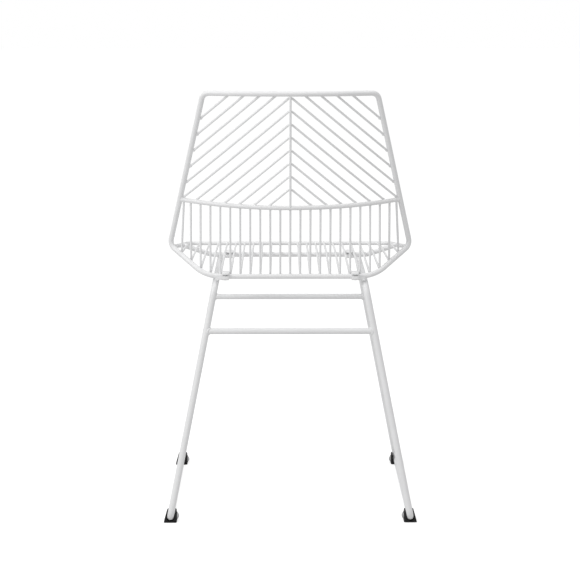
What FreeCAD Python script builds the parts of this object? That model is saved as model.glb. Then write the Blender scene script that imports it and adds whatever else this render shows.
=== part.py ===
import FreeCAD, Part
import math
import os
import Sketcher
from FreeCAD import Placement, Rotation, Vector

# Wire chair on a sled base: bent round rods and welded wires, all one rigid piece of furniture.
# Frame: +Z up, the front of the seat faces -Y, the origin is on the floor under the middle of the
# chair's outline. Every size is in millimetres.

doc = FreeCAD.newDocument("wire_chair")

# Driving dimensions

SIZES = [
    ("overall_height", 775, "floor to the top of the back"),
    ("overall_depth", 496, "front rail to the back of the top rail, outside"),
    ("frame_dia", 9.5, "rod of the back frame"),
    ("lumbar_dia", 8, "rod across the small of the back"),
    ("rim_dia", 8, "rod round the seat"),
    ("cross_dia", 9.5, "rod under the seat wires"),
    ("wire_dia", 4, "all the thin wires"),
    ("base_dia", 12, "rod of the two sled frames"),
    ("stretcher_dia", 11, "rod of the two stretchers"),
    ("weld_depth", 0.3, "how far crossing rods sink into each other"),
    ("top_half", 152, "half width of the back at its top corners"),
    ("top_arc_half", 125, "half length of the bowed part of the top rail"),
    ("back_radius", 373, "radius of the back seen from above"),
    ("back_setback", 72, "how far the top rail lies behind the seat's back rod"),
    ("corner_radius", 15.5, "bend at the top corners"),
    ("hip_half", 218.5, "half width at the hips"),
    ("hip_forward", 57, "hips ahead of the seat's back rod"),
    ("hip_rise", 49.2, "hips above the seat's back rod"),
    ("hip_radius", 14, "bend at the hips"),
    ("haunch_half", 150.5, "half width where the back rod starts to rise to the hips"),
    ("haunch_radius", 62, "bend between the back rod and the rise to the hips"),
    ("lumbar_rise", 126.5, "lumbar rod above the seat's back rod, in the middle"),
    ("lumbar_lift", 9.8, "ends of the lumbar rod above its middle"),
    ("chevron_first", 5.9, "first chevron's corner below the top rail"),
    ("chevron_pitch", 23.2, "height from one chevron to the next"),
    ("chevron_count", 8, "chevrons that cross the spine"),
    ("diagonal_count", 4, "straight wires above them on each side"),
    ("chevron_slope", 0.84, "fall of a chevron's arm for its run"),
    ("chevron_radius", 7, "bend at a chevron's corner"),
    ("wire_pairs", 11, "basket wires on each side of the middle one"),
    ("wire_pitch", 17.8, "wire spacing at the lumbar rod and the front rail"),
    ("wire_pitch_low", 17.9, "wire spacing at the seat's back rod"),
    ("outer_wire_inset", 7.3, "outermost wire from the side rod at the lumbar rod"),
    ("wire_bend", 14, "bend of a wire from the back into the seat"),
    ("wire_over_bend", 90, "bend of a wire over the seat rod"),
    ("rim_joint_share", 0.75, "where the seat rim is welded, as a share of the hip's bend"),
    ("rim_half_front", 206, "half width of the seat at its front corners"),
    ("rim_half_mid", 209, "half width of the seat half way back"),
    ("rim_mid_ahead", 246, "the rim's low bend ahead of the seat's back rod"),
    ("rim_mid_rise", 22, "that bend above the seat's back rod"),
    ("rim_front_rise", 2, "front rail above the seat's back rod"),
    ("rim_mid_radius", 160, "the rim's low bend half way back"),
    ("rim_corner_radius", 22, "bend at the front corners of the seat"),
    ("cross_ahead", 272, "seat rod ahead of the back rod"),
    ("cross_flat_half", 152, "half length of the level part of the seat rod"),
    ("cross_radius", 40, "bend where the seat rod rises to the rim"),
    ("rail_height", 430, "centre of the base's top rails above the floor"),
    ("rail_half", 134.5, "half distance between the top rails"),
    ("foot_half", 217.5, "half distance between the floor rails"),
    ("toe_angle", 0.2, "each sled frame turned inwards towards the back, degrees"),
    ("foot_rear", 235, "rear foot corner behind the origin"),
    ("foot_front", 203, "front foot corner ahead of the origin"),
    ("rail_rear", 177.5, "rear end of the top rail behind the origin"),
    ("rail_front", 178, "front end of the top rail ahead of the origin"),
    ("foot_bend", 14, "bend at the feet"),
    ("rail_bend", 26, "bend at the top rail's ends"),
    ("rear_stretcher_height", 344, "rear stretcher above the floor"),
    ("front_stretcher_height", 343.5, "front stretcher above the floor"),
    ("clamp_gap", 6, "clamps lie outside the wire of this number, counted from the middle"),
    ("jaw_width", 12.5, "clamp jaw along the rod"),
    ("jaw_half_length", 10, "half length of a clamp jaw across the rod"),
    ("jaw_top", 8.6, "top of the upper jaw above the rod's centre"),
    ("jaw_bottom", 6, "bottom of the lower jaw below the rod's centre"),
    ("jaw_round", 3.5, "rounded top edges of the upper jaw"),
    ("jaw_foot_round", 2.5, "rounded bottom edges of the lower jaw"),
    ("jaw_slit", 2.8, "gap left between the two jaws"),
    ("slit_rise", 2.7, "middle of that gap above the rod's centre"),
    ("tab_half", 5.5, "half width of the tab welded to the top rail"),
    ("tab_thick", 5.2, "thickness of that tab"),
    ("screw_dia", 3, "clamp screw"),
    ("screw_offset", 6.9, "clamp screws from the rod's centre"),
    ("screw_head_dia", 5, "clamp screw's head"),
    ("screw_head_height", 2, "clamp screw's head"),
    ("screw_reach", 7, "clamp screw's tip above the rod's centre"),
    ("seat_clearance", 0.05, "play between a rod or screw and its hole or groove"),
    ("sole", 3, "glide under the floor rail"),
    ("glide_length", 30, "glide along the rail"),
    ("glide_setback", 5, "end of the glide from the foot corner"),
    ("glide_height", 19, "glide, floor to top"),
    ("glide_base_half", 11.7, "half width of the glide at the floor"),
    ("glide_wall", 2.2, "glide's wall at its top"),
    ("glide_gap", 0.1, "play between the glide and the rod"),
    ("glide_edge", 1.5, "chamfer round the glide's sole and ends"),
    ("stud_head_dia", 13, "domed head of the glide's screw"),
    ("stud_head_height", 3.6, "domed head of the glide's screw"),
    ("stud_dia", 3.5, "shank of the glide's screw"),
    ("stud_setback", 22, "glide's screw from the foot corner"),
    ("stud_reach", 3, "glide's screw into the rod"),
]

sheet = doc.addObject("Spreadsheet::Sheet", "sizes")
for row, (alias, value, meaning) in enumerate(SIZES, start=1):
    sheet.set("A%d" % row, meaning)
    sheet.set("B%d" % row, str(value))
    sheet.setAlias("B%d" % row, alias)
doc.recompute()


def size(alias):
    """A driving dimension as a number."""
    return float(sheet.get(alias))


# Rods and wires bent in space

def unit(vector):
    return Vector(vector).normalize()


def mirrored_point(point):
    return Vector(-point.x, point.y, point.z)


def arc_at_corner(before, corner, after, radius):
    """Start, middle and end of the arc that rounds a corner."""
    back = unit(before - corner)
    ahead = unit(after - corner)
    half = back.getAngle(ahead) / 2
    reach = radius / math.tan(half)
    middle = corner + unit(back + ahead) * (radius / math.sin(half) - radius)
    return corner + back * reach, middle, corner + ahead * reach


def bent_path(points, radii):
    """Straight runs through points, joined by an arc of the given radius at each inner point."""
    edges = []
    start = points[0]
    for before, corner, after, radius in zip(points, points[1:], points[2:], radii):
        bend = arc_at_corner(before, corner, after, radius)
        edges.append(Part.LineSegment(start, bend[0]).toShape())
        edges.append(Part.Arc(*bend).toShape())
        start = bend[2]
    edges.append(Part.LineSegment(start, points[-1]).toShape())
    return edges


def arc_leaving(start, direction, end):
    """The arc from start to end that leaves start in the given direction."""
    chord = end - start
    tilt = direction.getAngle(chord)
    side = unit(direction * chord.Length * math.cos(tilt) - chord)
    middle = (start + end) * 0.5 + side * (chord.Length / 2 * math.tan(tilt / 2))
    return Part.Arc(start, middle, end).toShape()


def rod_solid(edges, diameter):
    """A round rod along a path of edges that run smoothly into each other."""
    path = Part.Wire(edges)
    first = path.Edges[0]
    start = first.valueAt(first.FirstParameter)
    heading = first.tangentAt(first.FirstParameter)
    ring = Part.Wire([Part.Circle(start, heading, diameter / 2).toShape()])
    return path.makePipeShell([ring], True, False)


def point_at_x(edges, x):
    """The point, and the direction, where a path that runs one way in X passes x."""
    for edge in edges:
        low, high = edge.FirstParameter, edge.LastParameter
        ends = sorted((edge.valueAt(low).x, edge.valueAt(high).x))
        if not ends[0] <= x <= ends[1]:
            continue
        rising = edge.valueAt(high).x > edge.valueAt(low).x
        for _ in range(60):
            middle = (low + high) / 2
            if (edge.valueAt(middle).x < x) == rising:
                low = middle
            else:
                high = middle
        return edge.valueAt(low), edge.tangentAt(low)
    raise ValueError("no point of the path at x = %.1f" % x)


def cut_back(solid, neighbours):
    """A rod cut to the surface of the rods that it is welded to."""
    rest = solid.cut(neighbours)
    return max(rest.Solids, key=lambda part: part.Volume)


def add_shape(label, shape):
    """A sub-part whose shape is bent in space."""
    feature = doc.addObject("Part::Feature", label)
    feature.Label = label
    feature.Shape = shape
    feature.Placement = Placement()
    return feature


def with_mirror(solid):
    """A left and a right solid in one sub-part."""
    return Part.makeCompound([solid, solid.mirror(Vector(0, 0, 0), Vector(1, 0, 0))])


# Bodies with sketches, their sizes bound to the sheet

def worked_out(formula):
    """The number that a formula of the sheet's sizes gives."""
    value = sheet.evalExpression(formula)
    return float(getattr(value, "Value", value))


def origin_plane(body, role):
    for feature in body.Origin.OriginFeatures:
        if feature.Role == role:
            return feature
    raise ValueError("no origin plane " + role)


def new_body(label):
    body = doc.addObject("PartDesign::Body", label)
    body.Label = label
    return body


def new_sketch(body, name, role):
    sketch = body.newObject("Sketcher::SketchObject", name)
    sketch.AttachmentSupport = [(origin_plane(body, role), "")]
    sketch.MapMode = "FlatFace"
    return sketch


def drawn_at(x_formula, y_formula):
    return Vector(worked_out(x_formula), worked_out(y_formula), 0)


def place_point(sketch, geometry, point, formulas):
    """Ties a point of a sketch to formulas for its distances from the origin."""
    for kind, formula in zip(("DistanceX", "DistanceY"), formulas):
        tie = Sketcher.Constraint(kind, -1, 1, geometry, point, worked_out(formula))
        sketch.setExpression("Constraints[%d]" % sketch.addConstraint(tie), formula)


def set_radius(sketch, geometry, formula):
    tie = Sketcher.Constraint("Radius", geometry, worked_out(formula))
    sketch.setExpression("Constraints[%d]" % sketch.addConstraint(tie), formula)


def join(sketch, first, first_end, second, second_end):
    sketch.addConstraint(Sketcher.Constraint("Coincident", first, first_end, second, second_end))


def outline(sketch, corners):
    """A closed outline of straight lines through corners, each a pair of formulas."""
    spots = [drawn_at(*corner) for corner in corners]
    lines = []
    for start, end in zip(spots, spots[1:] + spots[:1]):
        lines.append(sketch.addGeometry(Part.LineSegment(start, end), False))
    for line, following in zip(lines, lines[1:] + lines[:1]):
        join(sketch, line, 2, following, 1)
    for line, corner in zip(lines, corners):
        place_point(sketch, line, 1, corner)


def circle(sketch, centre, radius_formula):
    shape = Part.Circle(drawn_at(*centre), Vector(0, 0, 1), worked_out(radius_formula))
    ring = sketch.addGeometry(shape, False)
    place_point(sketch, ring, 3, centre)
    set_radius(sketch, ring, radius_formula)


def rounded_outline(sketch, corners):
    """A closed outline with an arc at each corner, which is two formulas and a radius formula."""
    spots = [drawn_at(x, y) for x, y, _ in corners]
    afters = spots[1:] + spots[:1]
    befores = spots[-1:] + spots[:-1]
    lines = []
    for corner, after in zip(spots, afters):
        run = (after - corner) * 0.2
        lines.append(sketch.addGeometry(Part.LineSegment(corner + run, after - run), False))
    arriving = lines[-1:] + lines[:-1]
    for index, (_, _, radius_formula) in enumerate(corners):
        bend = Part.Arc(*arc_at_corner(befores[index], spots[index], afters[index],
                                       worked_out(radius_formula)))
        arc = sketch.addGeometry(bend, False)
        starts_near = sketch.Geometry[arc].StartPoint.distanceToPoint(befores[index])
        ends_near = sketch.Geometry[arc].EndPoint.distanceToPoint(befores[index])
        first, last = (1, 2) if starts_near < ends_near else (2, 1)
        sketch.addConstraint(Sketcher.Constraint("Tangent", arriving[index], 2, arc, first))
        sketch.addConstraint(Sketcher.Constraint("Tangent", lines[index], 1, arc, last))
        set_radius(sketch, arc, radius_formula)
        mark = sketch.addGeometry(Part.Point(spots[index]), True)
        sketch.addConstraint(Sketcher.Constraint("PointOnObject", mark, 1, arriving[index]))
        sketch.addConstraint(Sketcher.Constraint("PointOnObject", mark, 1, lines[index]))
        place_point(sketch, mark, 1, corners[index][:2])


def feature(body, kind, name, sketch, **formulas):
    """A pad, pocket or like feature on a sketch, its sizes bound to formulas."""
    made = body.newObject("PartDesign::" + kind, name)
    made.Profile = sketch
    for prop, formula in formulas.items():
        made.setExpression(prop, formula)
    return made


def turned(body, sketch, axis):
    """A solid turned from a half outline round an axis of its sketch."""
    made = feature(body, "Revolution", body.Name + "_turned", sketch)
    made.ReferenceAxis = (sketch, [axis])
    made.Angle = 360


def mirror_of(source, label):
    """The left-hand copy of a right-hand piece."""
    copy = doc.addObject("Part::Mirroring", label)
    copy.Label = label
    copy.Source = source
    copy.Normal = Vector(1, 0, 0)
    copy.Base = Vector(0, 0, 0)
    return copy


def group_of(label, members):
    group = doc.addObject("Part::Compound", label)
    group.Label = label
    group.Links = members
    return group


# The shell: where its main rods run

frame_r = size("frame_dia") / 2
rim_r = size("rim_dia") / 2
cross_r = size("cross_dia") / 2
wire_r = size("wire_dia") / 2
base_r = size("base_dia") / 2

top_y = size("overall_depth") / 2 - frame_r
top_z = size("overall_height") - frame_r
seat_back_y = top_y - size("back_setback")
seat_back_z = size("rail_height") + base_r + frame_r
front_y = -size("overall_depth") / 2 + rim_r
cross_y = seat_back_y - size("cross_ahead")
cross_z = size("rail_height") + base_r + cross_r
recline = size("back_setback") / (top_z - seat_back_z)


def bow(x):
    """How far the back comes forward at x from the middle."""
    radius = size("back_radius")
    return radius - math.sqrt(radius * radius - x * x)


def back_point(x, z, layer=0):
    """A point of the back's curved surface, or that far behind it."""
    slant = math.hypot(1, recline)
    y = seat_back_y + recline * (z - seat_back_z) - bow(x)
    return Vector(x, y + layer / slant, z - layer * recline / slant)


# Back frame: one closed loop of rod, round the back and under the back of the seat

bow_half = size("top_arc_half")
bow_end = Vector(bow_half, top_y - bow(bow_half), top_z)
bow_angle = math.asin(bow_half / size("back_radius"))
bow_run = (size("top_half") - bow_half) / math.cos(bow_angle)
top_corner = bow_end + Vector(math.cos(bow_angle), -math.sin(bow_angle), 0) * bow_run
hip = Vector(size("hip_half"), seat_back_y - size("hip_forward"), seat_back_z + size("hip_rise"))
haunch = Vector(size("haunch_half"), seat_back_y, seat_back_z)
right_side = [bow_end, top_corner, hip, haunch]
left_side = [mirrored_point(point) for point in reversed(right_side)]
side_radii = [size("corner_radius"), size("hip_radius"), size("haunch_radius")]
frame_edges = bent_path(right_side + left_side, side_radii + side_radii[::-1])
top_bow = Part.Arc(left_side[-1], Vector(0, top_y, top_z), bow_end).toShape()
back_frame = rod_solid([top_bow] + frame_edges, size("frame_dia"))

# The stretch of the loop under the basket wires, from the right hip to the left one
seat_back_edges = frame_edges[4:9]
hip_bend = frame_edges[3]
hip_bend_length = hip_bend.LastParameter - hip_bend.FirstParameter
rim_joint = hip_bend.valueAt(hip_bend.FirstParameter + size("rim_joint_share") * hip_bend_length)


# Lumbar rod: one bowed rod between the sides of the back frame

def side_rod_point(z):
    share = (top_corner.z - z) / (top_corner.z - hip.z)
    return top_corner + (hip - top_corner) * share


lumbar_z = seat_back_z + size("lumbar_rise")
lumbar_end = side_rod_point(lumbar_z + size("lumbar_lift"))
lumbar_edge = Part.Arc(mirrored_point(lumbar_end), back_point(0, lumbar_z), lumbar_end).toShape()
lumbar_rod = cut_back(rod_solid([lumbar_edge], size("lumbar_dia")), [back_frame])

# Seat rim: from hip to hip round the front of the seat

rim_mid = Vector(size("rim_half_mid"), seat_back_y - size("rim_mid_ahead"),
                 seat_back_z + size("rim_mid_rise"))
rim_corner = Vector(size("rim_half_front"), front_y, seat_back_z + size("rim_front_rise"))
right_rim = [rim_joint, rim_mid, rim_corner]
left_rim = [mirrored_point(point) for point in reversed(right_rim)]
rim_radii = [size("rim_mid_radius"), size("rim_corner_radius")]
rim_edges = bent_path(right_rim + left_rim, rim_radii + rim_radii[::-1])
front_edges = rim_edges[3:6]
seat_rim = cut_back(rod_solid(rim_edges, size("rim_dia")), [back_frame])

# Seat cross rod: level under the wires, its ends rise to the rim

rim_share = (rim_mid.y - cross_y) / (rim_mid.y - rim_corner.y)
cross_end = rim_mid + (rim_corner - rim_mid) * rim_share
cross_flat = Vector(size("cross_flat_half"), cross_y, cross_z)
cross_points = [cross_end, cross_flat, mirrored_point(cross_flat), mirrored_point(cross_end)]
cross_edges = bent_path(cross_points, [size("cross_radius")] * 2)
cross_rod = cut_back(rod_solid(cross_edges, size("cross_dia")), [seat_rim])

back_frame_part = add_shape("back_frame", back_frame)
add_shape("lumbar_rod", lumbar_rod)
add_shape("seat_rim", seat_rim)
cross_rod_part = add_shape("seat_cross_rod", cross_rod)

# Basket wires: each hangs from the lumbar rod, turns inside the seat's back rod, crosses the
# seat rod and ends on the front rail

def basket_wire(number):
    outermost = number == int(size("wire_pairs"))
    x_high = number * size("wire_pitch")
    if outermost:
        x_high = lumbar_end.x - size("outer_wire_inset")
    high = point_at_x([lumbar_edge], x_high)[0]
    under, along = point_at_x(seat_back_edges, number * size("wire_pitch_low"))
    front = point_at_x(front_edges, number * size("wire_pitch"))[0]
    share = (under.y - cross_y) / (under.y - front.y)
    x_cross = under.x + (front.x - under.x) * share
    over = point_at_x(cross_edges, x_cross)[0]
    over += Vector(0, 0, cross_r + wire_r - size("weld_depth"))

    # The bend just touches the back rod from inside
    up = unit(high - under)
    ahead = unit(over - under)
    inward = unit(up + ahead)
    heading = unit(up - ahead)
    square = unit(heading.cross(along))
    touch = (frame_r + wire_r - size("weld_depth")) / abs(inward.dot(square))
    half = up.getAngle(ahead) / 2
    spread = size("wire_bend") / math.sin(half) - size("wire_bend")
    bend = under + inward * (touch - spread)
    path = bent_path([high, bend, over, front], [size("wire_bend"), size("wire_over_bend")])
    return cut_back(rod_solid(path, size("wire_dia")), [lumbar_rod, back_frame, cross_rod, seat_rim])


add_shape("basket_wire_middle", basket_wire(0))
for number in range(1, int(size("wire_pairs")) + 1):
    add_shape("basket_wires_%02d" % number, with_mirror(basket_wire(number)))

# Spine: one straight wire behind the chevrons, from the top rail to the lumbar rod

layer = wire_r - size("weld_depth") / 2
spine_ends = [back_point(0, top_z, layer), back_point(0, lumbar_z, layer)]
spine_edge = Part.LineSegment(spine_ends[0], spine_ends[1]).toShape()
spine = cut_back(rod_solid([spine_edge], size("wire_dia")), [back_frame, lumbar_rod])
add_shape("spine_wire", spine)


# Chevrons: bent wires in front of the spine, each arm bowed with the back

def arm_end(corner_z):
    """Where an arm that starts at the middle at corner_z meets the side rod or the lumbar rod."""
    slope = size("chevron_slope")
    low, high = 0.0, lumbar_end.x
    for _ in range(60):
        x = (low + high) / 2
        z = corner_z - slope * x
        beyond_side = z > lumbar_end.z and x > side_rod_point(z).x
        below_lumbar = z < point_at_x([lumbar_edge], min(x, lumbar_end.x - 0.01))[0].z
        if beyond_side or below_lumbar:
            high = x
        else:
            low = x
    return back_point(low, corner_z - slope * low, -layer)


def chevron(number):
    corner_z = top_z - size("chevron_first") - number * size("chevron_pitch")
    slope = size("chevron_slope")
    corner = back_point(0, corner_z, -layer)
    heading = unit(Vector(1, -recline * slope, -slope))
    other = mirrored_point(heading)
    half = heading.getAngle(other) / 2
    reach = size("chevron_radius") / math.tan(half)
    spread = size("chevron_radius") / math.sin(half) - size("chevron_radius")
    end = arm_end(corner_z)
    start = corner + heading * reach
    middle = corner + unit(heading + other) * spread
    right_arm = arc_leaving(start, heading, end)
    left_arm = right_arm.mirror(Vector(0, 0, 0), Vector(1, 0, 0))
    bend = Part.Arc(mirrored_point(start), middle, start).toShape()
    wire = rod_solid([left_arm, bend, right_arm], size("wire_dia"))
    return cut_back(wire, [back_frame, lumbar_rod, spine])


for number in range(int(size("chevron_count"))):
    add_shape("chevron_%d" % (number + 1), chevron(number))


# Diagonals: the chevrons' pattern carried on up to the top rail

def diagonal(number):
    corner_z = top_z - size("chevron_first") + number * size("chevron_pitch")
    slope = size("chevron_slope")
    end = arm_end(corner_z)
    x_start = (corner_z - top_z) / slope
    start = back_point(x_start, top_z, -layer)
    x_middle = (x_start + end.x) / 2
    middle = back_point(x_middle, corner_z - slope * x_middle, -layer)
    wire = rod_solid([Part.Arc(start, middle, end).toShape()], size("wire_dia"))
    return cut_back(wire, [back_frame])


for number in range(1, int(size("diagonal_count")) + 1):
    add_shape("top_diagonals_%d" % number, with_mirror(diagonal(number)))


# Sled frames: each one closed loop of rod, leaning inwards and turned a little

FLOOR_Z = "(sizes.sole + sizes.glide_gap + sizes.base_dia / 2)"
LEAN_RUN = "(sizes.foot_half - sizes.rail_half)"
LEAN_RISE = "(sizes.rail_height - %s)" % FLOOR_Z
LEAN = "atan(%s / %s)" % (LEAN_RUN, LEAN_RISE)
SLANT = "sqrt(%s ^ 2 + %s ^ 2)" % (LEAN_RUN, LEAN_RISE)

floor_z = size("sole") + size("glide_gap") + base_r
lean = math.atan((size("foot_half") - size("rail_half")) / (size("rail_height") - floor_z))
slant = (size("rail_height") - floor_z) / math.cos(lean)
toe = Rotation(Vector(0, 0, 1), size("toe_angle"))
sled_turn = toe.multiply(Rotation(Vector(0, 1, 0), -math.degrees(lean)))
sled_place = Placement(Vector(size("foot_half"), 0, floor_z), sled_turn)


def sled_rod():
    body = new_body("sled_rod")
    path = new_sketch(body, "sled_path", "YZ_Plane")
    corners = [
        ("sizes.foot_rear", "0", "sizes.foot_bend"),
        ("sizes.rail_rear", SLANT, "sizes.rail_bend"),
        ("-sizes.rail_front", SLANT, "sizes.rail_bend"),
        ("-sizes.foot_front", "0", "sizes.foot_bend"),
    ]
    rounded_outline(path, corners)
    ring = new_sketch(body, "sled_ring", "XZ_Plane")
    circle(ring, ("0", "0"), "sizes.base_dia / 2")
    pipe = body.newObject("PartDesign::AdditivePipe", "sled_pipe")
    pipe.Profile = ring
    pipe.Spine = (path, ["Edge%d" % (index + 1) for index in range(8)])
    body.Placement = sled_place
    return body


sled_body = sled_rod()
doc.recompute()

# Stretchers: straight rods between the legs, their ends shaped to the legs

def leg_formulas(height_alias, foot_alias, rail_alias, sign):
    """Formulas for where the leg's centre is at a height: how far out, and how far back."""
    share = "((sizes.%s - %s) / %s)" % (height_alias, FLOOR_Z, LEAN_RISE)
    along = "(sizes.%s - (sizes.%s - sizes.%s) * %s)" % (foot_alias, foot_alias, rail_alias, share)
    turn = "(sizes.toe_angle * 1 deg)"
    inward = "(%s * %s)" % (LEAN_RUN, share)
    out = "(sizes.foot_half - %s * cos(%s) - %s * %s * sin(%s))" % (inward, turn, sign, along, turn)
    back = "(%s * %s * cos(%s) - %s * sin(%s))" % (sign, along, turn, inward, turn)
    return out, back


def bar_along_x(name, radius, start, length):
    """A cylinder along the X axis, its radius, start and length given as formulas."""
    bar = doc.addObject("Part::Cylinder", name)
    bar.setExpression("Radius", radius)
    bar.setExpression("Height", length)
    bar.Placement = Placement(Vector(0, 0, 0), Rotation(Vector(0, 1, 0), 90))
    bar.setExpression("Placement.Base.x", start)
    return bar


def stretcher(label, height_alias, foot_alias, rail_alias, sign):
    out, back = leg_formulas(height_alias, foot_alias, rail_alias, sign)
    bar = bar_along_x(label + "_bar", "sizes.stretcher_dia / 2", "-" + out, "2 * " + out)
    bar.setExpression("Placement.Base.y", back)
    bar.setExpression("Placement.Base.z", "sizes." + height_alias)
    coped = doc.addObject("Part::Cut", label)
    coped.Label = label
    coped.Base = bar
    coped.Tool = both_sleds
    return coped


# Screw holes of the glides in the floor rails, and the finished sled frames

glide_middle = size("glide_setback") + size("glide_length") / 2
glide_spots = [
    ("rear", size("foot_rear") - glide_middle, size("foot_rear") - size("stud_setback")),
    ("front", glide_middle - size("foot_front"), size("stud_setback") - size("foot_front")),
]
floor_turn = Placement(Vector(size("foot_half"), 0, 0), toe)
stud_holes = []
for end, glide_y, stud_y in glide_spots:
    hole = doc.addObject("Part::Cylinder", "stud_hole_" + end)
    hole.setExpression("Radius", "sizes.stud_dia / 2 + sizes.seat_clearance")
    hole.setExpression("Height", "sizes.base_dia / 2 + sizes.stud_reach + sizes.seat_clearance")
    spot = Placement(Vector(-size("base_dia"), stud_y, floor_z), Rotation(Vector(0, 1, 0), 90))
    hole.Placement = floor_turn.multiply(spot)
    stud_holes.append(hole)

right_frame = doc.addObject("Part::Cut", "right_sled_frame")
right_frame.Label = "right_sled_frame"
right_frame.Base = sled_body
right_frame.Tool = group_of("stud_holes", stud_holes)
left_frame = mirror_of(right_frame, "left_sled_frame")
both_sleds = group_of("both_sled_frames", [right_frame, left_frame])

subparts = [right_frame, left_frame]
subparts.append(stretcher("rear_stretcher", "rear_stretcher_height", "foot_rear", "rail_rear", "1"))
subparts.append(stretcher("front_stretcher", "front_stretcher_height", "foot_front", "rail_front", "-1"))


# Clamps: a lower jaw welded to the top rail and an upper jaw, screwed together from below round
# the seat's back rod or the seat rod, between two wires

def jaw_outline(body, corners):
    sketch = new_sketch(body, body.Name + "_side", "YZ_Plane")
    outline(sketch, corners)
    pad = feature(body, "Pad", body.Name + "_block", sketch, Length="sizes.jaw_width")
    pad.SideType = "Symmetric"
    return pad


def jaw_groove(body, rod_alias):
    sketch = new_sketch(body, body.Name + "_groove_ring", "YZ_Plane")
    circle(sketch, ("0", "0"), "sizes.%s / 2 + sizes.seat_clearance" % rod_alias)
    groove = feature(body, "Pocket", body.Name + "_groove", sketch)
    groove.Type = "ThroughAll"
    groove.SideType = "Symmetric"


def jaw_screw_holes(body, upwards, depth):
    way = "up" if upwards else "down"
    sketch = new_sketch(body, "%s_screw_rings_%s" % (body.Name, way), "XY_Plane")
    for sign in ("", "-"):
        circle(sketch, ("0", sign + "sizes.screw_offset"),
               "sizes.screw_dia / 2 + sizes.seat_clearance")
    holes = feature(body, "Pocket", "%s_screw_holes_%s" % (body.Name, way), sketch, Length=depth)
    holes.Reversed = upwards


def head_seats(body):
    """Counterbores that take the screws' heads flush with the bottom of the lower jaw."""
    sketch = new_sketch(body, body.Name + "_head_rings", "XY_Plane")
    sketch.setExpression("AttachmentOffset.Base.z", "-sizes.jaw_bottom")
    for sign in ("", "-"):
        circle(sketch, ("0", sign + "sizes.screw_offset"),
               "sizes.screw_head_dia / 2 + sizes.seat_clearance")
    seats = feature(body, "Pocket", body.Name + "_head_seats", sketch, Length="sizes.screw_head_height")
    seats.Reversed = True


def round_jaw(body, block, at_top, radius_alias):
    """Rounds the two long edges at the top or the bottom of a jaw's block."""
    doc.recompute()
    box = block.Shape.BoundBox
    level = box.ZMax if at_top else box.ZMin
    long_edges = []
    for index, edge in enumerate(block.Shape.Edges):
        lengthwise = abs(edge.tangentAt(edge.FirstParameter).x) > 0.99
        if lengthwise and abs(edge.CenterOfMass.z - level) < 0.01:
            long_edges.append("Edge%d" % (index + 1))
    rounded = body.newObject("PartDesign::Fillet", body.Name + "_round")
    rounded.Base = (block, long_edges)
    rounded.setExpression("Radius", "sizes." + radius_alias)


def lower_jaw(end, rod_alias, rod_part, place, tab_reach):
    body = new_body("lower_jaw_block_" + end)
    half = "sizes.jaw_half_length"
    slit = "sizes.slit_rise - sizes.jaw_slit / 2"
    bottom = "-sizes.jaw_bottom"
    block = jaw_outline(body, [("-" + half, slit), ("-" + half, bottom), (half, bottom), (half, slit)])
    round_jaw(body, block, False, "jaw_foot_round")
    tab_sketch = new_sketch(body, body.Name + "_tab_side", "YZ_Plane")
    tab_top = "sizes.tab_thick - sizes.jaw_bottom"
    outline(tab_sketch, [("-sizes.tab_half", tab_top), ("-sizes.tab_half", bottom),
                         ("sizes.tab_half", bottom), ("sizes.tab_half", tab_top)])
    tab = feature(body, "Pad", body.Name + "_tab", tab_sketch)
    tab.Length = tab_reach
    jaw_groove(body, rod_alias)
    mouth = new_sketch(body, body.Name + "_mouth_side", "YZ_Plane")
    wide = "sizes.%s / 2 + sizes.seat_clearance" % rod_alias
    outline(mouth, [("-(%s)" % wide, "0"), (wide, "0"), (wide, slit), ("-(%s)" % wide, slit)])
    open_mouth = feature(body, "Pocket", body.Name + "_mouth", mouth)
    open_mouth.Type = "ThroughAll"
    open_mouth.SideType = "Symmetric"
    jaw_screw_holes(body, True, "sizes.jaw_top")
    jaw_screw_holes(body, False, "sizes.jaw_bottom")
    head_seats(body)
    body.Placement = place
    clear = doc.addObject("Part::Cut", "%s_jaw_clear_of_rod" % end)
    clear.Base = body
    clear.Tool = rod_part
    welded = doc.addObject("Part::Cut", "right_%s_lower_jaw" % end)
    welded.Label = "right_%s_lower_jaw" % end
    welded.Base = clear
    welded.Tool = right_frame
    return welded


def upper_jaw(end, rod_alias, place):
    body = new_body("right_%s_upper_jaw" % end)
    half = "sizes.jaw_half_length"
    slit = "sizes.slit_rise + sizes.jaw_slit / 2"
    top = "sizes.jaw_top"
    block = jaw_outline(body, [("-" + half, slit), (half, slit), (half, top), ("-" + half, top)])
    round_jaw(body, block, True, "jaw_round")
    jaw_groove(body, rod_alias)
    jaw_screw_holes(body, True, "sizes.screw_reach + sizes.seat_clearance")
    body.Placement = place
    return body


def clamp_screw(name, place):
    body = new_body(name)
    sketch = new_sketch(body, name + "_half", "XZ_Plane")
    head = "sizes.screw_head_dia / 2"
    shank = "sizes.screw_dia / 2"
    foot = "-sizes.jaw_bottom"
    seat = "sizes.screw_head_height - sizes.jaw_bottom"
    edge = "sizes.screw_head_height * 0.3 - sizes.jaw_bottom"
    crown = "sizes.screw_head_dia * 0.4"
    outline(sketch, [("0", foot), (crown, foot), (head, edge), (head, seat), (shank, seat),
                     (shank, "sizes.screw_reach"), ("0", "sizes.screw_reach")])
    turned(body, sketch, "V_Axis")
    body.Placement = place
    return body


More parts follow.
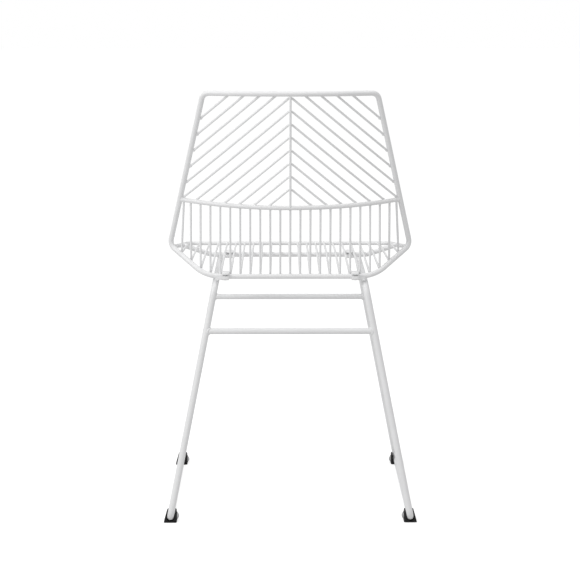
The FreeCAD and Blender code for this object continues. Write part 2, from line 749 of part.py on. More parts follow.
clamp_gap = size("clamp_gap") + 0.5
rear_x = clamp_gap * size("wire_pitch_low")
share = size("cross_ahead") / (seat_back_y - front_y)
front_x = clamp_gap * (size("wire_pitch_low") + (size("wire_pitch") - size("wire_pitch_low")) * share)
screws = []
rear_spot = Vector(rear_x, seat_back_y, seat_back_z)
front_spot = Vector(front_x, cross_y, cross_z)
for end, rod_alias, rod_part, spot in (("rear", "frame_dia", back_frame_part, rear_spot),
                                       ("front", "cross_dia", cross_rod_part, front_spot)):
    place = Placement(spot, Rotation())
    rail_spot = sled_place.multVec(Vector(0, spot.y, slant))
    lower = lower_jaw(end, rod_alias, rod_part, place, rail_spot.x - spot.x)
    upper = upper_jaw(end, rod_alias, place)
    for side in (-1, 1):
        name = "clamp_screw_%s_%s" % (end, "inner" if side < 0 else "outer")
        shift = Placement(Vector(0, side * size("screw_offset"), 0), Rotation())
        screws.append(clamp_screw(name, place.multiply(shift)))
    subparts += [lower, upper]
    subparts += [mirror_of(lower, "left_%s_lower_jaw" % end), mirror_of(upper, "left_%s_upper_jaw" % end)]

right_screws = group_of("right_clamp_screws", screws)
left_screws = mirror_of(right_screws, "left_clamp_screws")
subparts.append(group_of("clamp_screws", [right_screws, left_screws]))


# Glides: moulded shoes that straddle the floor rails at the feet, each held by one screw

SLOT = "(sizes.base_dia / 2 + sizes.glide_gap)"


def glide(end):
    body = new_body("right_%s_glide" % end)
    half = "sizes.glide_base_half"
    height = "sizes.glide_height"
    top_outer = "(%s / cos(%s) + sizes.glide_wall - (sizes.glide_height - %s) * tan(%s))" % (
        SLOT, LEAN, FLOOR_Z, LEAN)
    side = new_sketch(body, body.Name + "_end", "XZ_Plane")
    outline(side, [("-" + half, "0"), (half, "0"), (top_outer, height), ("-" + half, height)])
    block = feature(body, "Pad", body.Name + "_block", side, Length="sizes.glide_length")
    block.SideType = "Symmetric"
    edges = body.newObject("PartDesign::Chamfer", body.Name + "_edges")
    edges.Base = (block, ["Edge1"])
    edges.UseAllEdges = True
    edges.setExpression("Size", "sizes.glide_edge")
    bed = new_sketch(body, body.Name + "_bed_ring", "XZ_Plane")
    circle(bed, ("0", FLOOR_Z), SLOT)
    slot = new_sketch(body, body.Name + "_slot_sides", "XZ_Plane")
    corners = []
    for sign, rise in (("-", "0"), ("", "0"), ("", height), ("-", height)):
        x_formula = "%s%s * cos(%s) - %s * sin(%s)" % (sign, SLOT, LEAN, rise, LEAN)
        y_formula = "%s %s %s * sin(%s) + %s * cos(%s)" % (FLOOR_Z, sign or "+", SLOT, LEAN, rise, LEAN)
        corners.append((x_formula, y_formula))
    outline(slot, corners)
    for name, sketch in (("bed", bed), ("slot", slot)):
        cut = feature(body, "Pocket", body.Name + "_" + name, sketch)
        cut.Type = "ThroughAll"
        cut.SideType = "Symmetric"
    return body


def glide_screw_hole(body, along):
    ring = new_sketch(body, body.Name + "_screw_ring", "YZ_Plane")
    circle(ring, (str(along), FLOOR_Z), "sizes.stud_dia / 2 + sizes.seat_clearance")
    feature(body, "Pocket", body.Name + "_screw_hole", ring, Length="sizes.glide_base_half * 2")


def glide_screw(name, place):
    """A screw with a wide domed head, lying along the X axis."""
    crown = "-sizes.glide_base_half - sizes.stud_head_height"
    ball = "((sizes.stud_head_dia / 2) ^ 2 + sizes.stud_head_height ^ 2) / (2 * sizes.stud_head_height)"
    sphere = doc.addObject("Part::Sphere", name + "_ball")
    sphere.setExpression("Radius", ball)
    sphere.setExpression("Placement.Base.x", crown + " + " + ball)
    disc = bar_along_x(name + "_disc", "sizes.stud_head_dia / 2", crown, "sizes.stud_head_height")
    shank = bar_along_x(name + "_shank", "sizes.stud_dia / 2", crown,
                        "sizes.stud_head_height + sizes.glide_base_half + sizes.stud_reach"
                        " - sizes.base_dia / 2")
    blank = doc.addObject("Part::MultiFuse", name + "_blank")
    blank.Shapes = [disc, shank]
    whole = doc.addObject("Part::MultiCommon", name)
    whole.Shapes = [blank, sphere]
    whole.Placement = place
    return whole


studs = []
for end, glide_y, stud_y in glide_spots:
    shoe = glide(end)
    glide_screw_hole(shoe, stud_y - glide_y)
    shoe.Placement = floor_turn.multiply(Placement(Vector(0, glide_y, 0), Rotation()))
    screw_place = floor_turn.multiply(Placement(Vector(0, stud_y, floor_z), Rotation()))
    studs.append(glide_screw("glide_screw_" + end, screw_place))
    subparts += [shoe, mirror_of(shoe, "left_%s_glide" % end)]

right_studs = group_of("right_glide_screws", studs)
left_studs = mirror_of(right_studs, "left_glide_screws")
subparts.append(group_of("glide_screws", [right_studs, left_studs]))

# The document is worked out and checked, and each sub-part is written to a file of its own

doc.recompute()
for item in doc.Objects:
    state = [str(word) for word in item.State]
    if "Invalid" in state or "Error" in state:
        raise RuntimeError("%s failed: %s" % (item.Name, ", ".join(state)))

subparts += [item for item in doc.Objects if item.TypeId == "Part::Feature"]
os.makedirs("parts", exist_ok=True)
for item in subparts:
    shape = item.Shape
    if shape.isNull() or not shape.isValid() or not shape.Solids:
        raise RuntimeError("%s has no valid shape" % item.Label)
    shape.exportStep("parts/%s.step" % item.Label)
print("%d sub-parts written" % len(subparts))
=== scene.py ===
import math

import bpy
from mathutils import Matrix, Vector


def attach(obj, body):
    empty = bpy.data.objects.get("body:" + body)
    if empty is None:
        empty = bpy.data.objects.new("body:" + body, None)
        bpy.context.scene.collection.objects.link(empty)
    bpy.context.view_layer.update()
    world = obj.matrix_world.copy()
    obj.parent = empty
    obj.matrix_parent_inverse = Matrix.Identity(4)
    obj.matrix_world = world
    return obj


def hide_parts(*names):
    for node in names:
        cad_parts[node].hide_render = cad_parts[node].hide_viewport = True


# A white wire chair on a sled base, seen from behind. The rods and wires are the CAD nodes. The
# glides, screws, clamps and welds are modelled here.

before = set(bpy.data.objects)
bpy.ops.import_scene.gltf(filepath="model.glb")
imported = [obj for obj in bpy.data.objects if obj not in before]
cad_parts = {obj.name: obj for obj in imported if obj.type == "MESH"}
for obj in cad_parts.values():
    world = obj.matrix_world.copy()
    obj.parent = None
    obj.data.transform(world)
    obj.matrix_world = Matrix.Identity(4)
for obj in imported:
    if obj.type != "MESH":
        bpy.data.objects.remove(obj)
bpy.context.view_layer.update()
scene = bpy.context.scene
MM = 0.001

# Camera: behind the chair, a little above the back's top, looking slightly down
LENS_MM = 108.31
CAMERA_PLACE = (0.0193, 3.2638, 0.9317)
CAMERA_DOWN = 0.16531
CAMERA_TURN = 0.00611

# Where the pieces are, in millimetres, as in the CAD
FOOT_HALF = 217.5
TOE = math.radians(0.2)
LEAN = math.radians(11.156)
FLOOR_RAIL_CENTRE = 9.1
GLIDE_HALF = 11.7
GLIDE_PLACES = {"rear": 215, "front": -183}
STUD_PLACES = {"rear": 213, "front": -181}
CLAMP_SPOTS = {"rear": (116.35, 171.25, 440.75), "front": (115.92, -100.75, 440.75)}
CLAMP_SCREW_OFFSET = 6.9
TOP_RAIL_HALF = 134.5
TOP_RAIL_HEIGHT = 430
STRETCHER_SPOTS = {"rear": (150.8, 189.0, 344), "front": (152.2, -183.4, 343.5)}
STRETCHER_RADIUS = 5.5
LEG_RADIUS = 6
CHEVRON_SLOPE = 0.84

# How far a leg runs outwards, and to the rear (front legs: minus), for each millimetre it drops
LEG_LEAN = 0.1972
LEG_SPREAD = {"rear": 0.1366, "front": -0.0594}

# Slack in picking edges and points by their place
NEAR = 0.01


def add_camera():
    bpy.ops.object.camera_add(location=CAMERA_PLACE)
    camera = bpy.context.object
    camera.rotation_euler = (math.pi / 2 - CAMERA_DOWN, 0, math.pi - CAMERA_TURN)
    camera.data.lens = LENS_MM
    camera.data.sensor_width = 36
    scene.camera = camera


# Modelling helpers

def nothing_selected():
    if bpy.context.object and bpy.context.object.mode != "OBJECT":
        bpy.ops.object.mode_set(mode="OBJECT")
    bpy.ops.object.select_all(action="DESELECT")


def only(piece):
    nothing_selected()
    piece.select_set(True)
    bpy.context.view_layer.objects.active = piece


def new_block(name, low, high):
    """A box between two corners in millimetres."""
    nothing_selected()
    low, high = Vector(low) * MM, Vector(high) * MM
    bpy.ops.mesh.primitive_cube_add(size=1, location=(low + high) / 2)
    piece = bpy.context.object
    piece.name = name
    piece.scale = high - low
    bpy.ops.object.transform_apply(location=True, rotation=True, scale=True)
    return piece


def new_rod(name, centre, radius, length, axis, sides=48):
    """A cylinder along an axis through its centre, in millimetres."""
    nothing_selected()
    turn = Vector(axis).to_track_quat("Z", "Y").to_euler()
    bpy.ops.mesh.primitive_cylinder_add(vertices=sides, radius=radius * MM, depth=length * MM,
                                        location=Vector(centre) * MM, rotation=turn)
    piece = bpy.context.object
    piece.name = name
    bpy.ops.object.transform_apply(location=True, rotation=True, scale=True)
    return piece


def pick(piece, kind, test):
    """Leaves edit mode open with only the faces, edges or points that pass the test selected."""
    only(piece)
    bpy.ops.object.mode_set(mode="EDIT")
    bpy.ops.mesh.select_mode(type=kind)
    bpy.ops.mesh.select_all(action="DESELECT")
    bpy.ops.object.mode_set(mode="OBJECT")
    mesh = piece.data
    if kind == "VERT":
        for point in mesh.vertices:
            point.select = test(point.co / MM)
    elif kind == "FACE":
        for face in mesh.polygons:
            face.select = test(face.center / MM, face.normal)
    else:
        for edge in mesh.edges:
            ends = [mesh.vertices[index].co / MM for index in edge.vertices]
            edge.select = test(ends[0], ends[1])
    bpy.ops.object.mode_set(mode="EDIT")


def finished(piece):
    bpy.ops.object.mode_set(mode="OBJECT")
    return piece


def modified(piece, kind, **settings):
    """Adds a modifier with its settings and applies it."""
    only(piece)
    modifier = piece.modifiers.new(kind.lower(), kind)
    for key, value in settings.items():
        setattr(modifier, key, value)
    bpy.ops.object.modifier_apply(modifier=modifier.name)
    return piece


def combined(piece, other, operation):
    """A boolean with another piece, which is used up."""
    modified(piece, "BOOLEAN", object=other, operation=operation, solver="EXACT")
    bpy.data.objects.remove(other, do_unlink=True)
    return piece


def softened(piece, width, segments, angle):
    """Rounds the edges that are sharper than an angle in degrees."""
    return modified(piece, "BEVEL", width=width * MM, segments=segments, limit_method="ANGLE",
                    angle_limit=math.radians(angle), harden_normals=False)


def smooth(piece, angle=35):
    only(piece)
    bpy.ops.object.shade_smooth_by_angle(angle=math.radians(angle))
    return piece


def cleaned(piece, width=0.02):
    """Merges points that nearly meet and takes out the slivers that cuts leave."""
    pick(piece, "VERT", lambda p: True)
    bpy.ops.mesh.remove_doubles(threshold=width * MM)
    bpy.ops.mesh.dissolve_degenerate(threshold=width * MM)
    bpy.ops.mesh.delete_loose()
    return finished(piece)


def copy_of(piece, name, place):
    """A copy with its own mesh, put in place by a matrix."""
    nothing_selected()
    copy = piece.copy()
    copy.data = piece.data.copy()
    copy.name = name
    scene.collection.objects.link(copy)
    copy.data.transform(place)
    if place.determinant() < 0:
        copy.data.flip_normals()
    return copy


def joined(pieces, name):
    nothing_selected()
    for piece in pieces:
        piece.select_set(True)
    bpy.context.view_layer.objects.active = pieces[0]
    bpy.ops.object.join()
    whole = bpy.context.object
    whole.name = name
    return whole


def settle(piece, material, slot, *nodes):
    """Gives a piece its material and body, and hides the nodes that it stands for. The slot is not
    used.
    """
    piece.data.materials.clear()
    piece.data.materials.append(material)
    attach(piece, "root")
    if nodes:
        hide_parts(*nodes)
    return piece


# Materials

def new_material(name):
    material = bpy.data.materials.new(name)
    material.use_nodes = True
    tree = material.node_tree
    return material, tree, tree.nodes["Principled BSDF"]


def pattern(tree, kind, scale, **settings):
    """A texture on object coordinates, its scale in cells a metre."""
    place = tree.nodes.get("place") or tree.nodes.new("ShaderNodeTexCoord")
    place.name = "place"
    texture = tree.nodes.new(kind)
    texture.inputs["Scale"].default_value = scale
    for key, value in settings.items():
        texture.inputs[key].default_value = value
    tree.links.new(place.outputs["Object"], texture.inputs["Vector"])
    return texture


def ramp(tree, value, stops):
    """Turns a value into a colour or grey level by stops of position and colour."""
    made = tree.nodes.new("ShaderNodeValToRGB")
    elements = made.color_ramp.elements
    while len(elements) < len(stops):
        elements.new(0.5)
    for element, (position, colour) in zip(elements, stops):
        element.position = position
        element.color = (*colour, 1)
    tree.links.new(value, made.inputs["Fac"])
    return made.outputs["Color"]


def grey(level):
    return (level, level, level)


def bumped(tree, shader, height, strength, distance):
    bump = tree.nodes.new("ShaderNodeBump")
    bump.inputs["Strength"].default_value = strength
    bump.inputs["Distance"].default_value = distance * MM
    tree.links.new(height, bump.inputs["Height"])
    tree.links.new(bump.outputs["Normal"], shader.inputs["Normal"])


def powder_coat():
    """Satin white powder coat: a fine orange peel, faint clouding and a few duller patches."""
    material, tree, shader = new_material("white powder coat")
    clouds = pattern(tree, "ShaderNodeTexNoise", 14, Detail=3, Roughness=0.55)
    colour = ramp(tree, clouds.outputs["Fac"],
                  [(0.3, (0.855, 0.856, 0.862)), (0.7, (0.89, 0.891, 0.896))])
    tree.links.new(colour, shader.inputs["Base Color"])
    patches = pattern(tree, "ShaderNodeTexNoise", 55, Detail=4, Roughness=0.6)
    dull = ramp(tree, patches.outputs["Fac"], [(0.35, grey(0.34)), (0.65, grey(0.46))])
    tree.links.new(dull, shader.inputs["Roughness"])
    peel = pattern(tree, "ShaderNodeTexNoise", 800, Detail=2, Roughness=0.5)
    bumped(tree, shader, peel.outputs["Fac"], 0.45, 0.1)
    return material


def black_plastic():
    """Moulded black plastic: fine grain, rubbed paler in places near the floor."""
    material, tree, shader = new_material("black plastic")
    scuffs = pattern(tree, "ShaderNodeTexNoise", 160, Detail=5, Roughness=0.7)
    colour = ramp(tree, scuffs.outputs["Fac"],
                  [(0.35, (0.007, 0.007, 0.0075)), (0.62, (0.01, 0.01, 0.0105)),
                   (0.8, (0.026, 0.026, 0.026))])
    tree.links.new(colour, shader.inputs["Base Color"])
    dull = ramp(tree, scuffs.outputs["Fac"], [(0.3, grey(0.5)), (0.75, grey(0.68))])
    tree.links.new(dull, shader.inputs["Roughness"])
    grain = pattern(tree, "ShaderNodeTexNoise", 2600, Detail=1, Roughness=0.5)
    bumped(tree, shader, grain.outputs["Fac"], 0.35, 0.05)
    shader.inputs["Specular IOR Level"].default_value = 0.35
    return material


def zinc_plate():
    """Zinc plated steel: pale grey with the cloudy, slightly yellow and blue tint of plating."""
    material, tree, shader = new_material("zinc plated steel")
    shader.inputs["Metallic"].default_value = 1
    tint = pattern(tree, "ShaderNodeTexNoise", 260, Detail=4, Roughness=0.6, Distortion=0.6)
    colour = ramp(tree, tint.outputs["Fac"],
                  [(0.3, (0.56, 0.565, 0.58)), (0.55, (0.64, 0.64, 0.645)),
                   (0.75, (0.66, 0.65, 0.62))])
    tree.links.new(colour, shader.inputs["Base Color"])
    dull = ramp(tree, tint.outputs["Fac"], [(0.3, grey(0.32)), (0.7, grey(0.5))])
    tree.links.new(dull, shader.inputs["Roughness"])
    scratches = pattern(tree, "ShaderNodeTexNoise", 1500, Detail=3, Roughness=0.6)
    bumped(tree, shader, scratches.outputs["Fac"], 0.2, 0.03)
    return material


white = powder_coat()
black = black_plastic()
zinc = zinc_plate()
for name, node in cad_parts.items():
    node.data.materials.clear()
    if name.endswith("screws"):
        node.data.materials.append(zinc)
    elif name.endswith("glide"):
        node.data.materials.append(black)
    else:
        node.data.materials.append(white)


# Places along the floor rails

def foot_place(side, along):
    """The matrix that takes a piece drawn at the origin to a floor rail, mirrored on the left."""
    place = (Matrix.Translation(Vector((FOOT_HALF, 0, 0)) * MM) @ Matrix.Rotation(TOE, 4, "Z")
             @ Matrix.Translation(Vector((0, along, 0)) * MM))
    if side == "left":
        place = Matrix.Scale(-1, 4, (1, 0, 0)) @ place
    return place


# Glide: a moulded shoe with a slot that holds the floor rail, drawn with its inner side at -X

def model_glide():
    length, height = 30, 19
    outer_top, inner_draw = 6.5, 1.3
    corner_round, top_round, edge_round = 2.2, 1.2, 0.35
    pad_inset, pad_rise = 1.5, 0.7
    slot_radius, overrun = 6.1, 5
    seat_radius, seat_length, seat_centre = 7.4, 2.6, 1
    above_middle = height / 2 + 0.5
    glide = new_block("glide_master", (-GLIDE_HALF, -length / 2, pad_rise),
                      (GLIDE_HALF, length / 2, height))

    # The outer side leans in with the leg, and the inner side draws in a little at the top
    pick(glide, "VERT", lambda p: p.x > 0 and p.z > above_middle)
    bpy.ops.transform.translate(value=((outer_top - GLIDE_HALF) * MM, 0, 0))
    finished(glide)
    pick(glide, "VERT", lambda p: p.x < 0 and p.z > above_middle)
    bpy.ops.transform.translate(value=(inner_draw * MM, 0, 0))
    finished(glide)

    # Rounded upright corners and top edges
    pick(glide, "EDGE", lambda a, b: abs(a.z - b.z) > height / 2)
    bpy.ops.mesh.bevel(offset=corner_round * MM, segments=4, affect="EDGES")
    finished(glide)
    pick(glide, "EDGE", lambda a, b: min(a.z, b.z) > height - NEAR)
    bpy.ops.mesh.bevel(offset=top_round * MM, segments=3, affect="EDGES")
    finished(glide)

    # The foot pad: a step inside the edge of the sole
    pick(glide, "FACE", lambda c, n: n.z < -0.9)
    bpy.ops.mesh.inset(thickness=pad_inset * MM)
    bpy.ops.mesh.extrude_region_move(TRANSFORM_OT_translate={"value": (0, 0, -pad_rise * MM)})
    finished(glide)

    # The slot: round at the bottom and open at the top, leaning with the leg
    slot_half = length / 2 + overrun
    bed = new_rod("slot_bed", (0, 0, FLOOR_RAIL_CENTRE), slot_radius, 2 * slot_half, (0, 1, 0), 64)
    sides = new_block("slot_sides", (-slot_radius, -slot_half, 0), (slot_radius, slot_half, 20))
    sides.data.transform(Matrix.Translation((0, 0, FLOOR_RAIL_CENTRE * MM))
                         @ Matrix.Rotation(-LEAN, 4, "Y"))
    combined(glide, bed, "DIFFERENCE")
    combined(glide, sides, "DIFFERENCE")

    # A low round seat for the screw's head
    seat = new_rod("screw_seat", (seat_centre - GLIDE_HALF, 0, FLOOR_RAIL_CENTRE), seat_radius,
                   seat_length, (1, 0, 0), 64)
    below_sole = new_block("seat_trim", (-20, -20, -20), (20, 20, 0.05))
    combined(seat, below_sole, "DIFFERENCE")
    stud_offset = STUD_PLACES["rear"] - GLIDE_PLACES["rear"]
    seat.data.transform(Matrix.Translation((0, stud_offset * MM, 0)))
    combined(glide, seat, "UNION")
    cleaned(glide)
    softened(glide, edge_round, 2, 50)
    return smooth(cleaned(glide))


glide = model_glide()
for side in ("right", "left"):
    for end, along in GLIDE_PLACES.items():
        place = foot_place(side, along)
        if end == "front":
            place = place @ Matrix.Scale(-1, 4, (0, 1, 0))
        name = "%s_%s_glide" % (side, end)
        shoe = copy_of(glide, "moulded_" + name, place)
        settle(shoe, black, "black_plastic", name)
bpy.data.objects.remove(glide, do_unlink=True)


# Glide screw: a wide domed head with a cross recess, and its shank

def model_recess(base):
    """What cuts the cross: a small block with an arm drawn out of each side, narrower inside."""
    half, reach, narrowing = 0.45, 2.3, 0.55
    outside, bottom = base - 6, base - 1.9
    centre = Vector((0, 0, FLOOR_RAIL_CENTRE))
    cross = new_block("recess", (outside, -half, centre.z - half), (bottom, half, centre.z + half))
    for way in (Vector((0, 1, 0)), Vector((0, -1, 0)), Vector((0, 0, 1)), Vector((0, 0, -1))):
        def is_block_side(middle, normal):
            offset = middle - centre
            across = offset - way * offset.dot(way)
            return normal.dot(way) > 0.9 and math.hypot(across.y, across.z) < 0.1

        pick(cross, "FACE", is_block_side)
        step = way * (reach - half) * MM
        bpy.ops.mesh.extrude_region_move(TRANSFORM_OT_translate={"value": step})
        finished(cross)
    pick(cross, "VERT", lambda p: p.x > bottom - NEAR)
    bpy.ops.transform.resize(value=(1, narrowing, narrowing))
    return finished(cross)


def model_glide_screw():
    base, rise, head_radius, rim_round = -GLIDE_HALF, 3.6, 6.5, 0.35
    shank_radius, shank_start, shank_end = 1.75, base - 0.5, -3
    ball = (head_radius * head_radius + rise * rise) / (2 * rise)
    ball_centre = ((base - rise + ball) * MM, 0, FLOOR_RAIL_CENTRE * MM)
    nothing_selected()
    bpy.ops.mesh.primitive_uv_sphere_add(segments=60, ring_count=30, radius=ball * MM,
                                         location=ball_centre, rotation=(0, math.pi / 2, 0))
    head = bpy.context.object
    head.name = "stud_master"
    bpy.ops.object.transform_apply(location=True, rotation=True, scale=True)
    pick(head, "FACE", lambda c, n: True)
    bpy.ops.mesh.bisect(plane_co=(base * MM, 0, 0), plane_no=(1, 0, 0), use_fill=True,
                        clear_outer=True)
    finished(head)
    pick(head, "EDGE", lambda a, b: min(a.x, b.x) > base - NEAR)
    bpy.ops.mesh.bevel(offset=rim_round * MM, segments=3, affect="EDGES")
    finished(head)
    combined(head, model_recess(base), "DIFFERENCE")
    shank = new_rod("stud_shank", ((shank_start + shank_end) / 2, 0, FLOOR_RAIL_CENTRE),
                    shank_radius, shank_end - shank_start, (1, 0, 0), 24)
    combined(head, shank, "UNION")
    return smooth(cleaned(head))


stud = model_glide_screw()
for side in ("right", "left"):
    for end, along in STUD_PLACES.items():
        copy = copy_of(stud, "glide_screw_%s_%s" % (side, end), foot_place(side, along))
        settle(copy, zinc, "zinc_plated_screw", "glide_screws")
bpy.data.objects.remove(stud, do_unlink=True)


# Clamps: the CAD's own jaws with their sharp edges broken, as powder coat rounds them

def broken_edges(name):
    """A copy of a jaw, its triangles merged into flat faces and its edges rounded by 0.4 mm."""
    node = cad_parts[name]
    nothing_selected()
    jaw = node.copy()
    jaw.data = node.data.copy()
    jaw.name = "edged_" + name
    for key in list(jaw.keys()):
        if key.startswith("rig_"):
            del jaw[key]
    scene.collection.objects.link(jaw)
    pick(jaw, "VERT", lambda p: True)
    bpy.ops.mesh.remove_doubles(threshold=0.002 * MM)
    bpy.ops.mesh.dissolve_limited(angle_limit=math.radians(2))
    finished(jaw)
    softened(jaw, 0.4, 2, 40)
    return smooth(jaw)


for side in ("right", "left"):
    for end in ("rear", "front"):
        for half in ("upper", "lower"):
            name = "%s_%s_%s_jaw" % (side, end, half)
            settle(broken_edges(name), white, "white_powder_coat", name)


# Clamp screw: a cheese head with a hexagon socket, sunk in the lower jaw, and its shank

def model_clamp_screw():
    bottom, tip = -6, 7
    head_radius, head_height, rim_round = 2.5, 2, 0.4
    socket_radius, socket_depth = 1.45, 1.2
    shank_radius, shank_start = 1.5, bottom + 1.6
    upright = (0, 0, 1)
    head = new_rod("clamp_screw_master", (0, 0, bottom + head_height / 2), head_radius,
                   head_height, upright)
    pick(head, "EDGE", lambda a, b: max(a.z, b.z) < bottom + NEAR)
    bpy.ops.mesh.bevel(offset=rim_round * MM, segments=3, affect="EDGES")
    finished(head)
    socket = new_rod("socket", (0, 0, bottom), socket_radius, 2 * socket_depth, upright, 6)
    combined(head, socket, "DIFFERENCE")
    shank = new_rod("clamp_shank", (0, 0, (tip + shank_start) / 2), shank_radius,
                    tip - shank_start, upright, 24)
    combined(head, shank, "UNION")
    return smooth(head)


screw = model_clamp_screw()
for side, sign in (("right", 1), ("left", -1)):
    for end, spot in CLAMP_SPOTS.items():
        for hand, shift in (("inner", -CLAMP_SCREW_OFFSET), ("outer", CLAMP_SCREW_OFFSET)):
            place = Matrix.Translation(Vector((sign * spot[0], spot[1] + shift, spot[2])) * MM)
            copy = copy_of(screw, "clamp_screw_%s_%s_%s" % (side, end, hand), place)
            settle(copy, zinc, "zinc_plated_screw", "clamp_screws")
bpy.data.objects.remove(screw, do_unlink=True)


# Welds of the stretchers

MIRRORED = Matrix.Scale(-1, 4, (1, 0, 0))
RIPPLES = 22


def run_together(piece, voxel, passes):
    """Fuses overlapping metal into one skin and rounds it off."""
    modified(piece, "REMESH", mode="VOXEL", voxel_size=voxel * MM)
    modified(piece, "SMOOTH", factor=0.5, iterations=passes)
    return smooth(piece, 60)


def seam(spot, leg_axis):
    """The points in millimetres round a stretcher where it meets the inside of a leg."""
    points = []
    for ripple in range(RIPPLES):
        turn = math.tau * ripple / RIPPLES
        y, z = STRETCHER_RADIUS * math.cos(turn), STRETCHER_RADIUS * math.sin(turn)
        along = leg_axis.y * y + leg_axis.z * z
        square = 1 - leg_axis.x ** 2
        linear = leg_axis.x * along
        rest = y * y + z * z - along ** 2 - LEG_RADIUS ** 2
        x = (linear - math.sqrt(linear ** 2 - square * rest)) / square
        points.append(Vector(spot) + Vector((x, y, z)))
    return points


def model_seam_bead(end, spot):
    """A rippled bead laid round the end of a stretcher in overlapping drops, run together."""
    drop_radius = 1.7
    leg_axis = Vector((LEG_LEAN, LEG_SPREAD[end], -1)).normalized()
    drops = []
    for point in seam(spot, leg_axis):
        nothing_selected()
        bpy.ops.mesh.primitive_ico_sphere_add(subdivisions=3, radius=drop_radius * MM,
                                              location=point * MM)
        drops.append(bpy.context.object)
    bead = joined(drops, "seam_bead")
    bpy.ops.object.transform_apply(location=True, rotation=True, scale=True)
    return run_together(bead, 0.35, 4)


beads = []
for end, spot in STRETCHER_SPOTS.items():
    beads.append(model_seam_bead(end, spot))
    beads.append(copy_of(beads[-1], "bead_left", MIRRORED))
settle(joined(beads, "stretcher_welds"), white, "white_powder_coat")


# Welds where the clamps' tabs meet the top rails

def model_tab_bead(along):
    """The part of a block round a tab that lies within a skin round the top rail."""
    bead = new_block("bead", (127, along - 6.4, 433.6), (134, along + 6.4, 441))
    skin = new_rod("rail_skin", (TOP_RAIL_HALF, along, TOP_RAIL_HEIGHT), LEG_RADIUS + 1, 40,
                   (0, 1, 0), 64)
    combined(bead, skin, "INTERSECT")
    return run_together(bead, 0.3, 14)


beads = []
for spot in CLAMP_SPOTS.values():
    beads.append(model_tab_bead(spot[1]))
    beads.append(copy_of(beads[-1], "bead_left", MIRRORED))
settle(joined(beads, "tab_welds"), white, "white_powder_coat")


# Welds at the ends of the wires: small nuggets

WIRE_WELD = (2.6, 2.6, 1.5)
SLANTED_WELD = (2.5, 2.5, 2.9)


def model_nugget():
    """A small flattened weld, drawn upright at the origin, 1 mm in radius."""
    nothing_selected()
    bpy.ops.mesh.primitive_uv_sphere_add(segments=10, ring_count=6, radius=MM)
    nugget = bpy.context.object
    pick(nugget, "VERT", lambda p: abs(p.z) > 0.6)
    bpy.ops.transform.resize(value=(1, 1, 0.8))
    finished(nugget)
    return smooth(nugget, 80)


def wire_points(name, sign):
    """The points in millimetres of a wire node's right-hand or left-hand wire, or of all of it."""
    points = [point.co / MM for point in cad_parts[name].data.vertices]
    return [p for p in points if sign * p.x >= 0] if sign else points


def end_of(points, measure, depth=1.5):
    """The middle of the points within a depth of the farthest by some measure."""
    farthest = max(measure(p) for p in points)
    near = [p for p in points if measure(p) > farthest - depth]
    return sum(near, Vector()) / len(near)


def nuggets(name, places):
    """Copies of the nugget as one piece, each at a point with its three radii and its axis."""
    copies = []
    for spot, radii, axis in places:
        turn = Vector(axis).to_track_quat("Z", "Y").to_matrix().to_4x4()
        place = Matrix.Translation(spot * MM) @ turn @ Matrix.Diagonal((*radii, 1))
        copies.append(copy_of(nugget, name + "_one", place))
    settle(joined(copies, name), white, "white_powder_coat")


nugget = model_nugget()
basket = [("basket_wire_middle", 0)]
basket += [("basket_wires_%02d" % number, sign) for number in range(1, 12) for sign in (-1, 1)]
lumbar_welds, front_welds = [], []
for name, sign in basket:
    points = wire_points(name, sign)
    lumbar_welds.append((end_of(points, lambda p: p.z), WIRE_WELD, (0, 0.2, 1)))
    front_welds.append((end_of(points, lambda p: -p.y), WIRE_WELD, (0, 1, 0)))
nuggets("lumbar_rod_welds", lumbar_welds)
nuggets("front_rail_welds", front_welds)

# The herringbone's wires slant, so their nuggets are long and sit 1 mm back from the wire's end
chevrons = [("chevron_%d" % number, 0) for number in range(1, 9)]
chevrons += [("top_diagonals_%d" % number, sign) for number in range(1, 5) for sign in (-1, 1)]
back_ends = []
for name, sign in chevrons:
    points = wire_points(name, sign)
    for hand in ((-1, 1) if sign == 0 else (sign,)):
        axis = Vector((hand, 0, -CHEVRON_SLOPE)).normalized()
        end = end_of([p for p in points if hand * p.x > 0], axis.dot, 6)
        back_ends.append((end - axis, SLANTED_WELD, axis))
nuggets("herringbone_welds", back_ends)
bpy.data.objects.remove(nugget, do_unlink=True)


# Floor and light

FLOOR_PALE = (0.68, 0.68, 0.68, 1)
FLOOR_GLOW = 0.6
STUDIO_LEVEL = 0.6
CHAIR_MIDDLE = (0, 0, 0.5)


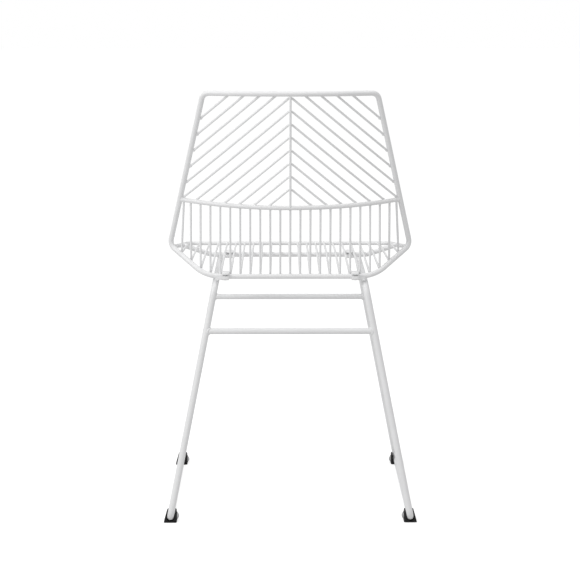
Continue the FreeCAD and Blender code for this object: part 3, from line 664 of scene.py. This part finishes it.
def pale_floor():
    """A pale floor that the camera sees as white, except where the chair's shadow lies."""
    nothing_selected()
    bpy.ops.mesh.primitive_plane_add(size=60)
    floor = bpy.context.object
    floor.name = "floor"
    material, tree, shader = new_material("pale floor")
    shader.inputs["Base Color"].default_value = FLOOR_PALE
    shader.inputs["Roughness"].default_value = 0.9
    ray = tree.nodes.new("ShaderNodeLightPath")
    glow = tree.nodes.new("ShaderNodeEmission")
    both = tree.nodes.new("ShaderNodeAddShader")
    strength = tree.nodes.new("ShaderNodeMath")
    strength.operation = "MULTIPLY"
    strength.inputs[1].default_value = FLOOR_GLOW
    tree.links.new(ray.outputs["Is Camera Ray"], strength.inputs[0])
    tree.links.new(strength.outputs[0], glow.inputs["Strength"])
    tree.links.new(shader.outputs[0], both.inputs[0])
    tree.links.new(glow.outputs[0], both.inputs[1])
    tree.links.new(both.outputs[0], tree.nodes["Material Output"].inputs["Surface"])
    floor.data.materials.append(material)


def studio(strength):
    """Even white light from all round, which the camera sees as plain white."""
    world = bpy.data.worlds.new("studio")
    scene.world = world
    world.use_nodes = True
    tree = world.node_tree
    back = tree.nodes["Background"]
    back.inputs["Color"].default_value = (1, 1, 1, 1)
    ray = tree.nodes.new("ShaderNodeLightPath")
    level = tree.nodes.new("ShaderNodeMapRange")
    level.inputs["To Min"].default_value = strength
    level.inputs["To Max"].default_value = 1
    tree.links.new(ray.outputs["Is Camera Ray"], level.inputs["Value"])
    tree.links.new(level.outputs["Result"], back.inputs["Strength"])


def add_softbox(name, place, side, power):
    """A square lamp aimed at the middle of the chair."""
    nothing_selected()
    bpy.ops.object.light_add(type="AREA", location=place)
    lamp = bpy.context.object
    lamp.name = name
    lamp.data.shape = "SQUARE"
    lamp.data.size = side
    lamp.data.energy = power
    toward = Vector(CHAIR_MIDDLE) - Vector(place)
    lamp.rotation_euler = toward.to_track_quat("-Z", "Y").to_euler()


add_camera()
pale_floor()
studio(STUDIO_LEVEL)
add_softbox("left softbox", (2.6, 1.9, 2.6), 1.6, 41)
add_softbox("overhead softbox", (0, 0.4, 3.4), 3, 28)
scene.view_settings.view_transform = "Standard"

nothing_selected()
